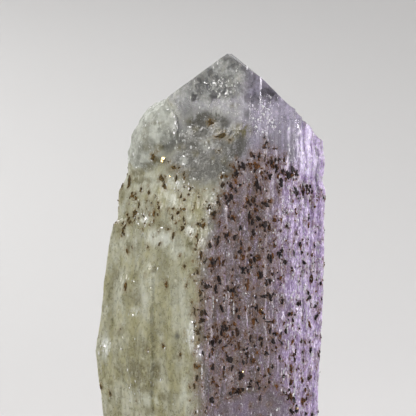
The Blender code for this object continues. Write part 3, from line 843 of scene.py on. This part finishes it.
def scatterTree(look):
    # strews small bodies over the skin, sunk into it and drawn out along the crystal
    g, start = newGraph("scatter_on_skin", look, ("Seed", "Segments", "Rings"))

    def chance(low, high, shift):
        return g.value("FunctionNodeRandomValue", {"data_type": "FLOAT"},
                       {2: low, 3: high, "Seed": start["Seed"] + shift}, 1)

    def either(name, shift):
        return chance(start[name] * -1.0, start[name], shift)

    def noise(size, shift, output):
        place = g.vector("SCALE", g.place, g.math("DIVIDE", 1.0, size))
        return g.lumps(g.vector("ADD", place, (shift, shift, shift)), output=output)

    clump = g.value("ShaderNodeMapRange", None, {
        "Value": noise(start["Clump Size"], 3.0, 0), "From Min": 0.42, "From Max": 0.6,
        "To Min": 1.0 - start["Clumping"], "To Max": 1.0 + start["Clumping"],
    })
    strewn = addNode(g.tree, "GeometryNodeDistributePointsOnFaces", None, {
        "Mesh": start["Geometry"], "Seed": start["Seed"],
        "Density": g.attribute(start["Share Name"]) * start["Density"] * clump,
    }).outputs
    turn = g.value("FunctionNodeAlignRotationToVector", {"axis": "Z"}, {"Vector": strewn["Normal"]})
    turn = g.value("FunctionNodeAlignRotationToVector", {"axis": "Y", "pivot_axis": "Z"},
                   {"Rotation": turn, "Vector": (0, 0, 1)})
    twist = g.combine(either("Tilt", 3), either("Tilt", 4), either("Twist", 5))
    twist = g.value("FunctionNodeEulerToRotation", None, {0: twist})
    turn = g.value("FunctionNodeRotateRotation", {"rotation_space": "LOCAL"}, {0: turn, 1: twist})
    pick = g.math("POWER", chance(0.0, 1.0, 6), 2.2)  # mostly small ones
    width = start["Smallest"] + pick * (start["Largest"] - start["Smallest"])
    size = g.combine(width, width * chance(start["Stretch Low"], start["Stretch High"], 7),
                     width * start["Thickness"])
    body = g.value("GeometryNodeMeshUVSphere", None, {
        "Segments": start["Segments"], "Rings": start["Rings"], "Radius": 1.0,
    })
    placed = g.value("GeometryNodeInstanceOnPoints", None, {
        "Points": strewn["Points"], "Instance": body, "Rotation": turn, "Scale": size,
    })
    toned = g.value("GeometryNodeStoreNamedAttribute", {"data_type": "FLOAT", "domain": "INSTANCE"},
                    {"Geometry": placed, "Name": "tone", "Value": chance(0.0, 1.0, 8)})
    whole = g.value("GeometryNodeRealizeInstances", None, {0: toned})
    dent = g.vector("SUBTRACT", noise(start["Dent Size"], 7.0, 1), (0.5, 0.5, 0.5))
    dented = g.value("GeometryNodeSetPosition", None, {
        "Geometry": whole, "Offset": g.vector("SCALE", dent, start["Dent Depth"]),
    })
    return g.finish(g.value("GeometryNodeSetMaterial", None,
                            {"Geometry": dented, "Material": start["Material"]}))


perSquare = 1e6  # of one square millimetre in a square metre


def strew(name, look, material):
    thing = linkedObject(name, skin.data.copy())
    runTree(thing, scatter, dict(look, Material=material))
    return handIn(thing)


# the dark grains: how they are strewn, and each colour from its dark to its light tone
grainLook = {
    "Share Name": "grainShare", "Density": 3.9 * perSquare, "Clump Size": 1.2 * mm, "Clumping": 0.95,
    "Seed": 11, "Smallest": 0.04 * mm, "Largest": 0.2 * mm, "Stretch Low": 0.8, "Stretch High": 2.9,
    "Thickness": 0.6, "Twist": 0.4, "Tilt": 0.15, "Segments": 7, "Rings": 4,
    "Dent Size": 0.15 * mm, "Dent Depth": 0.6 * mm,
}
grainColours = {
    "black": ((0.008, 0.007, 0.009, 1), (0.034, 0.02, 0.015, 1)),
    "brown": ((0.035, 0.015, 0.007, 1), (0.24, 0.1, 0.028, 1)),
    "olive": ((0.024, 0.019, 0.008, 1), (0.18, 0.12, 0.03, 1)),
    "sheen": 0.2,
}


def grainMaterial(look):
    s = Shading("iron_grains", look)
    fine = s.noise(0.12, 0.16, 3, 0.6, 4)
    black = s.mix(s.ramp(fine, 0.42, 0.62), *look["black"])
    brown, olive = (s.mix(s.ramp(fine, 0.4, 0.64), *look[name]) for name in ("brown", "olive"))
    colour = s.mix(s.ramp(s.attribute("tone"), 0.35, 0.9), black, brown)
    s.link(s.mix((1.0 - s.attribute("right")) * 0.7, colour, olive), "Base Color")
    s.link(0.42 + fine * 0.4, "Roughness")
    s.constants({"Specular IOR Level": look["sheen"]})
    s.link(s.bump(s.noise(0.07, 0.07, 2, 0.6, 1), 0.03, 0.7), "Normal")
    return s.material


# the pale flecks, and their colours on the left, on the right and where they are brightest; that
# near-white tone partly paints their glints
fleckLook = {
    "Share Name": "sugarShare", "Density": 7.5 * perSquare, "Clump Size": 1.1 * mm, "Clumping": 0.6,
    "Seed": 29, "Smallest": 0.035 * mm, "Largest": 0.11 * mm, "Stretch Low": 0.9, "Stretch High": 2.6,
    "Thickness": 0.5, "Twist": 0.12, "Tilt": 0.25, "Segments": 5, "Rings": 3,
    "Dent Size": 0.2 * mm, "Dent Depth": 0.03 * mm,
}
fleckColours = {
    "left": (0.72, 0.74, 0.68, 1), "right": (0.84, 0.74, 0.95, 1), "bright": (0.95, 0.95, 0.96, 1),
    "through": 0.35,
}


def fleckMaterial(look):
    s = Shading("sugar_flecks", look)
    tone = s.attribute("tone")
    lean = s.attribute("right") * s.patches(0.3, 0.6, 0.5, 0.5, 2, 0.5, 3)
    pale = s.mix(lean, "left", "right")
    s.link(s.mix(s.ramp(tone, 0.3, 0.8), pale, "bright"), "Base Color")
    s.link(0.08 + tone * 0.15, "Roughness")
    s.constants({"IOR": finish["ior"], "Transmission Weight": look["through"]})
    return s.material


scatter = scatterTree(dict(grainLook, Material=None))
grainFinish = grainMaterial(grainColours)
grains = strew("grains", grainLook, grainFinish)
strew("sugar_flecks", fleckLook, fleckMaterial(fleckColours))
print("stage 5: grains and flecks")


def skinSurface():
    mesh = skin.data
    return BVHTree.FromPolygons(
        [point.co for point in mesh.vertices], [face.vertices[:] for face in mesh.polygons])


surface = skinSurface()


def onSkin(across, height):
    # the place and direction of the skin straight behind a point in front
    start = Vector((across, -20.0, height)) * mm
    place, normal, _, _ = surface.ray_cast(start, Vector((0, 1, 0)))
    return place, normal


# outlines of the small bodies: rows of (radius, height out of the skin)
roundRings = ((0.35, -1.0), (0.85, -0.5), (1.0, 0.1), (0.8, 0.65), (0.35, 0.95))
slabRings = ((0.9, -1.0), (1.0, 0.7), (0.88, 1.0))


class Bits:
    # gathers small closed bodies into one mesh
    def __init__(self, seed):
        self.chance = random.Random(seed)
        self.points, self.faces, self.tones = [], [], []

    def near(self, reach):
        return self.chance.uniform(-reach, reach)

    def glint(self, across, height, tilt):
        # a place on the skin, its direction, and the one that mirrors the spark lamp into
        # the camera, turned away by up to tilt
        place, out = onSkin(across, height)
        lamp, eye = Vector(lamps["spark"][0]) * mm, bpy.context.scene.camera.location
        mirror = ((lamp - place).normalized() + (eye - place).normalized()).normalized()
        if tilt:
            mirror = (mirror + Vector([self.near(tilt) for _ in range(3)])).normalized()
        return place, out, mirror

    def add(self, rings, place, out, halfSizes, tone, lean=0.0):
        # a body on the skin, with its half sizes across, along and out of it
        halfAcross, halfAlong, halfOut = halfSizes
        out = out.normalized()
        along = Vector((0, 0, 1)) - out * out.z
        along = along.normalized() if along.length > 1e-6 else Vector((0, 1, 0))
        across = along.cross(out)
        first = len(self.points)
        sides = self.chance.choice((5, 6, 7))
        turns = [math.tau * (side + self.near(0.3)) / sides for side in range(sides)]
        reach = [self.chance.uniform(0.72, 1.15) for _ in turns]
        for radius, rise in rings:
            for turn, share in zip(turns, reach):
                share *= radius * self.chance.uniform(0.94, 1.06)
                slide = halfAcross * share * math.cos(turn) + lean * halfAlong * share * math.sin(turn)
                climb = along * halfAlong * share * math.sin(turn)
                self.points.append(place + across * slide + climb + out * halfOut * rise)
                self.tones.append(tone)
        for row in range(len(rings) - 1):
            low = first + row * sides
            for side in range(sides):
                after = (side + 1) % sides
                self.faces.append((low + side, low + after, low + sides + after, low + sides + side))
        self.faces.append(tuple(first + side for side in reversed(range(sides))))
        last = first + (len(rings) - 1) * sides
        self.faces.append(tuple(last + side for side in range(sides)))

    def build(self, name, material):
        mesh = bpy.data.meshes.new(name)
        mesh.from_pydata(self.points, [], self.faces)
        across, _, height = np.array(self.points).T / mm
        right = rightOf(across, np.interp(height, crystal["frontHeights"], crystal["frontAcross"]))
        for layer, values in (("tone", self.tones), ("right", right)):
            mesh.attributes.new(layer, "FLOAT", "POINT").data.foreach_set("value", values)
        bm = bmesh.new()
        bm.from_mesh(mesh)
        bmesh.ops.recalc_face_normals(bm, faces=bm.faces)
        bm.to_mesh(mesh)
        bm.free()
        mesh.materials.append(material)
        return handIn(linkedObject(name, mesh))


# grains that stand out in front, each a knot of small lumps that is rustier at its rim
knots = {
    "seed": 5,
    "lumps": 9,
    "size": 0.62,  # of the middle lumps, as a share of the grain
    "shrink": 0.38,  # how much smaller the lumps at the rim are
    "rise": 0.1,  # half height out of the skin
    "rust": 0.55,
}
# across, height, half width, half height, tone
largeGrains = (
    (0.05, 40.3, 0.3, 0.33, 0.7), (1.1, 38.85, 0.62, 0.34, 0.3), (2.05, 38.45, 0.18, 0.12, 0.5),
    (0.85, 37.3, 0.15, 0.11, 0.2), (-8.05, 30.7, 0.3, 0.42, 0.2), (-6.06, 36.7, 0.3, 0.32, 0.4),
    (-3.94, 35.6, 0.28, 0.24, 0.6), (-5.3, 34.4, 0.24, 0.3, 0.5), (-4.85, 33.6, 0.2, 0.4, 0.4),
    (-2.96, 29.2, 0.19, 0.33, 0.1), (-1.35, 29.6, 0.22, 0.18, 0.6), (-8.6, 29.8, 0.16, 0.22, 0.6),
    (9.75, 10.8, 0.36, 0.46, 0.8), (9, 9.75, 0.34, 0.26, 0.3), (8.5, 14.3, 0.16, 0.5, 0.6),
    (0.25, 30.7, 0.45, 0.25, 0.3), (4.05, 30.5, 0.18, 0.8, 0.5), (4.8, 31.1, 0.35, 0.2, 0.7),
    (5.05, 30.2, 0.27, 0.34, 0.1), (5.7, 29.5, 0.32, 0.45, 0.2), (2.3, 30.3, 0.32, 0.22, 0.3),
    (1.7, 28.45, 0.38, 0.36, 0.2), (0.17, 25.6, 0.42, 0.55, 0.6), (-0.05, 27.3, 0.2, 0.4, 0.2),
    (3.1, 26.75, 0.25, 0.26, 0.3), (3.35, 24.9, 0.36, 0.5, 0.1), (5.2, 24.2, 0.34, 0.5, 0.1),
    (5.85, 23.3, 0.2, 0.4, 0.4), (6.3, 25.8, 0.17, 0.5, 0.3), (5.05, 26.1, 0.42, 0.36, 0.7),
    (5.6, 22, 0.4, 0.24, 0.2), (7.6, 21.5, 0.2, 0.28, 0.2), (7.5, 26.8, 0.17, 0.26, 0.3),
    (10.6, 21.7, 0.24, 0.28, 0.2), (11.2, 20.7, 0.22, 0.22, 0.1), (-0.34, 23.1, 0.36, 0.26, 0.2),
    (0.55, 22.8, 0.2, 0.5, 0.2), (2.2, 22.7, 0.26, 0.3, 0.1), (4.46, 20.9, 0.25, 0.12, 0.3),
    (6.15, 19.3, 0.42, 0.13, 0.3), (5.4, 20.3, 0.35, 0.4, 0.8), (-0.93, 19.5, 0.34, 0.26, 0.2),
    (-1.3, 18.4, 0.25, 0.26, 0.2), (1.65, 18.7, 0.22, 0.26, 0.1), (5.3, 17.6, 0.25, 0.28, 0.2),
    (1.95, 15.5, 0.42, 0.42, 0.2), (3.2, 13.7, 0.45, 0.42, 0.1), (5.9, 16, 0.25, 0.28, 0.2),
    (2.65, 11.95, 0.3, 0.16, 0.3), (3.3, 12.3, 0.35, 0.14, 0.1), (4.1, 12.5, 0.35, 0.13, 0.2),
    (0.1, 11.3, 0.28, 0.45, 0.1), (6.2, 12.95, 0.25, 0.16, 0.5), (-1.37, 14.8, 0.28, 0.24, 0.9),
    (0.25, 14.7, 0.2, 0.42, 0.1), (5.15, 36.7, 0.2, 0.45, 0.5), (4.9, 35.8, 0.42, 0.42, 0.9),
    (4.2, 35.7, 0.2, 0.3, 0.9), (5.7, 37.7, 0.26, 0.18, 0.5), (6.8, 37.55, 0.32, 0.1, 0.5),
    (6.46, 36.1, 0.22, 0.5, 0.4), (6.95, 35.3, 0.17, 0.6, 0.4), (7.8, 36.5, 0.13, 0.34, 0.4),
    (8.7, 35.3, 0.3, 0.42, 0.2), (8.2, 34.7, 0.32, 0.5, 0.3), (9.1, 35, 0.22, 0.4, 0.2),
    (3.4, 35.7, 0.3, 0.5, 0.1), (2.7, 34.9, 0.32, 0.4, 0.1), (4.86, 33.7, 0.2, 0.85, 0.2),
    (7.45, 33.7, 0.25, 0.34, 0.2), (9, 33.1, 0.32, 0.55, 0.1), (5.9, 31.7, 0.34, 0.34, 0.2),
    (2.1, 33.6, 0.18, 0.4, 0.4), (10.3, 33.6, 0.2, 0.3, 0.2), (7.6, 35.2, 0.2, 0.35, 0.3),
)


def placeLargeGrains(look):
    bits = Bits(look["seed"])
    for across, height, halfWide, halfTall, tone in largeGrains:
        for number in range(look["lumps"]):
            turn, reach = bits.chance.uniform(0, math.tau), bits.chance.uniform(0.25, 1.0) * (number > 1)
            place, out = onSkin(across + reach * halfWide * math.cos(turn),
                                height + reach * halfTall * math.sin(turn))
            slope = max(0.45, -out.y)  # keeps the width as it is seen from the front
            size = look["size"] - look["shrink"] * reach * bits.chance.uniform(0.6, 1.0)
            sizes = (size * halfWide * mm / slope, size * halfTall * mm, look["rise"] * mm)
            shade = tone + look["rust"] * reach - 0.25 + bits.near(0.2)
            bits.add(roundRings, place, out, sizes, min(1, max(0, shade)), bits.near(0.4))
    return bits.build("large_grains", grainFinish)


# bright flakes, each with smaller ones around it, and upright needles along the ribs; they mirror the
# spark lamp, and their near-white colour partly paints the glint
glints = {
    "seed": 17,
    "flakes": 4,
    "spread": 3.0,  # how far around, in half sizes of the flake
    "tilt": 0.25,  # how far the smaller ones turn away from the glint
    "rise": 0.07,  # half height out of the skin
    "needlePieces": 3,
    "needleHalf": 0.075,
    "needleRise": 0.06,
}
# across, height, half width, half height
brightFlakes = (
    (5.5, 42, 0.17, 0.14), (6.15, 41.65, 0.13, 0.1), (5.3, 41.5, 0.12, 0.08), (6.5, 40.3, 0.13, 0.13),
    (4.8, 39.85, 0.15, 0.13), (5.5, 39.3, 0.12, 0.1), (5.9, 39.2, 0.13, 0.09), (4.45, 40.7, 0.12, 0.1),
    (5, 40.6, 0.1, 0.12), (6.1, 40.9, 0.09, 0.1), (8.25, 39.65, 0.08, 0.2), (9.9, 33.4, 0.1, 0.22),
    (0.36, 44.45, 0.2, 0.12), (-0.6, 44.5, 0.1, 0.1), (0.9, 44.7, 0.08, 0.15), (1.64, 43.3, 0.2, 0.09),
    (-4.5, 41.7, 0.12, 0.1), (-3.8, 40.9, 0.08, 0.18), (-3.7, 40.2, 0.08, 0.2), (-3.85, 39.2, 0.13, 0.17),
    (-2.2, 39.85, 0.12, 0.08), (-2.85, 36.75, 0.14, 0.1), (-2.85, 35.9, 0.13, 0.1),
    (-2.2, 33.3, 0.18, 0.13), (-3.8, 33.3, 0.1, 0.12), (0.3, 32.7, 0.07, 0.1), (1.3, 35, 0.08, 0.1),
    (-7.9, 35.6, 0.09, 0.07), (-5.1, 29.2, 0.12, 0.08), (-7.6, 29.6, 0.1, 0.08), (-6.85, 30.2, 0.12, 0.2),
    (-7.1, 28.6, 0.07, 0.07), (-1.9, 19.4, 0.12, 0.14), (-1.75, 18.5, 0.14, 0.15),
    (-1.8, 17.8, 0.15, 0.13), (-1.3, 16.9, 0.1, 0.2), (-1.1, 16.1, 0.12, 0.2), (-2.5, 17.4, 0.1, 0.08),
    (-8.6, 12.2, 0.09, 0.1), (-11.3, 16.5, 0.18, 0.22), (-9.5, 16.3, 0.09, 0.08), (-8.1, 23.5, 0.1, 0.07),
    (-8.2, 20, 0.08, 0.1), (-4.8, 16.6, 0.08, 0.1), (8.6, 31, 0.14, 0.1), (8.9, 30.6, 0.09, 0.09),
    (11.1, 21.2, 0.15, 0.12), (10.8, 15.6, 0.2, 0.26), (11.1, 29.3, 0.1, 0.14), (0, 26.3, 0.1, 0.07),
    (3.7, 22.3, 0.09, 0.08), (6.6, 28.7, 0.09, 0.1), (10, 27.4, 0.07, 0.2), (9.6, 24.2, 0.07, 0.16),
    (9.8, 19, 0.06, 0.2), (8.8, 11.6, 0.08, 0.35),
)
# across, low, high
brightNeedles = (
    (0.26, 20.8, 22.1), (-0.92, 13.4, 14.8), (2.4, 20.1, 21.4), (8.9, 10.7, 13.4), (1.6, 21.7, 22.3),
    (10.2, 18.4, 20.6), (9.3, 22.4, 24), (8.2, 16.2, 17.3), (7.7, 13, 14.2), (11, 24.6, 26),
    (9.95, 28, 29.7), (10.6, 31.2, 32.6), (-0.1, 30.6, 31.5), (8.1, 18, 19.1),
)


def placeGlints(look):
    bits = Bits(look["seed"])
    for across, height, halfWide, halfTall in brightFlakes:
        for number in range(look["flakes"]):
            spread = look["spread"] if number else 0.0
            shrink = bits.chance.uniform(0.3, 0.65) if number else 1.0
            x = across + spread * halfWide * bits.near(1)
            z = height + spread * halfTall * bits.near(1)
            place, out, mirror = bits.glint(x, z, look["tilt"] if number else 0)
            sizes = (halfWide * shrink * mm, halfTall * shrink * mm, look["rise"] * mm)
            bits.add(slabRings, place, mirror * 0.8 + out * 0.2 if number else mirror, sizes,
                     bits.chance.uniform(0.5, 1.0), bits.near(0.4))
    pieces = look["needlePieces"]
    for across, low, high in brightNeedles:
        for number in range(pieces):
            z = low + (high - low) * (number + 0.5) / pieces
            place, out, mirror = bits.glint(across + bits.near(0.02), z, 0)
            sizes = (look["needleHalf"] * mm, 0.56 * (high - low) / pieces * mm, look["needleRise"] * mm)
            bits.add(slabRings, place, (mirror + out).normalized(), sizes, 0.9)
    return bits.build("bright_flakes", fleckMaterial(fleckColours))


# golden grains, each of a few bits
gold = {
    "seed": 23,
    "bits": 3,
    "tilt": 0.5,
    "dark": (0.82, 0.6, 0.24, 1),
    "bright": (1.0, 0.86, 0.52, 1),
    # across, height, half size
    "places": (
        (-4.97, 36.45, 0.32), (-5.15, 36.2, 0.16), (9.15, 9.95, 0.2), (5.3, 20.6, 0.1), (3.4, 14.1, 0.1),
        (-4.3, 34.6, 0.09), (8.95, 34.2, 0.09),
    ),
}


def goldMaterial(look):
    s = Shading("pyrite", look)
    fine = s.noise(0.06, 0.06, 2, 0.6, 2)
    s.link(s.mix(s.ramp(fine, 0.35, 0.7), "dark", "bright"), "Base Color")
    s.link(0.1 + fine * 0.25, "Roughness")
    s.constants({"Metallic": 1.0})
    s.link(s.bump(s.noise(0.05, 0.05, 2, 0.6, 6), 0.01, 0.5), "Normal")
    return s.material


def placeGold(look):
    bits = Bits(look["seed"])
    for across, height, half in look["places"]:
        for number in range(look["bits"]):
            x = across + (0.5 * half * bits.near(1) if number else 0)
            z = height + (0.7 * half * bits.near(1) if number else 0)
            place, _, mirror = bits.glint(x, z, look["tilt"] if number else 0)
            size = half * (bits.chance.uniform(0.5, 0.8) if number else 1.0) * mm
            bits.add(slabRings, place, mirror, (size * 0.8, size * 0.8, size * 0.7), 0.5)
    return bits.build("pyrite_grains", goldMaterial(look))


def stainAround(things):
    # marks the skin's points that lie close to a grain
    spots = [point.co for thing in things for point in thing.data.vertices]
    near = KDTree(len(spots))
    for number, spot in enumerate(spots):
        near.insert(spot, number)
    near.balance()
    away = np.array([near.find(point.co)[2] for point in skin.data.vertices]) / mm
    layer = skin.data.attributes.new("stain", "FLOAT", "POINT")
    layer.data.foreach_set("value", (1 - smooth(away, 0.06, 0.42)).astype(np.float32))


stainAround([grains, placeLargeGrains(knots)])
placeGlints(glints)
placeGold(gold)
print("stage 6: single grains and glints")

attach(skin, "root")
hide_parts("danburite_crystal")
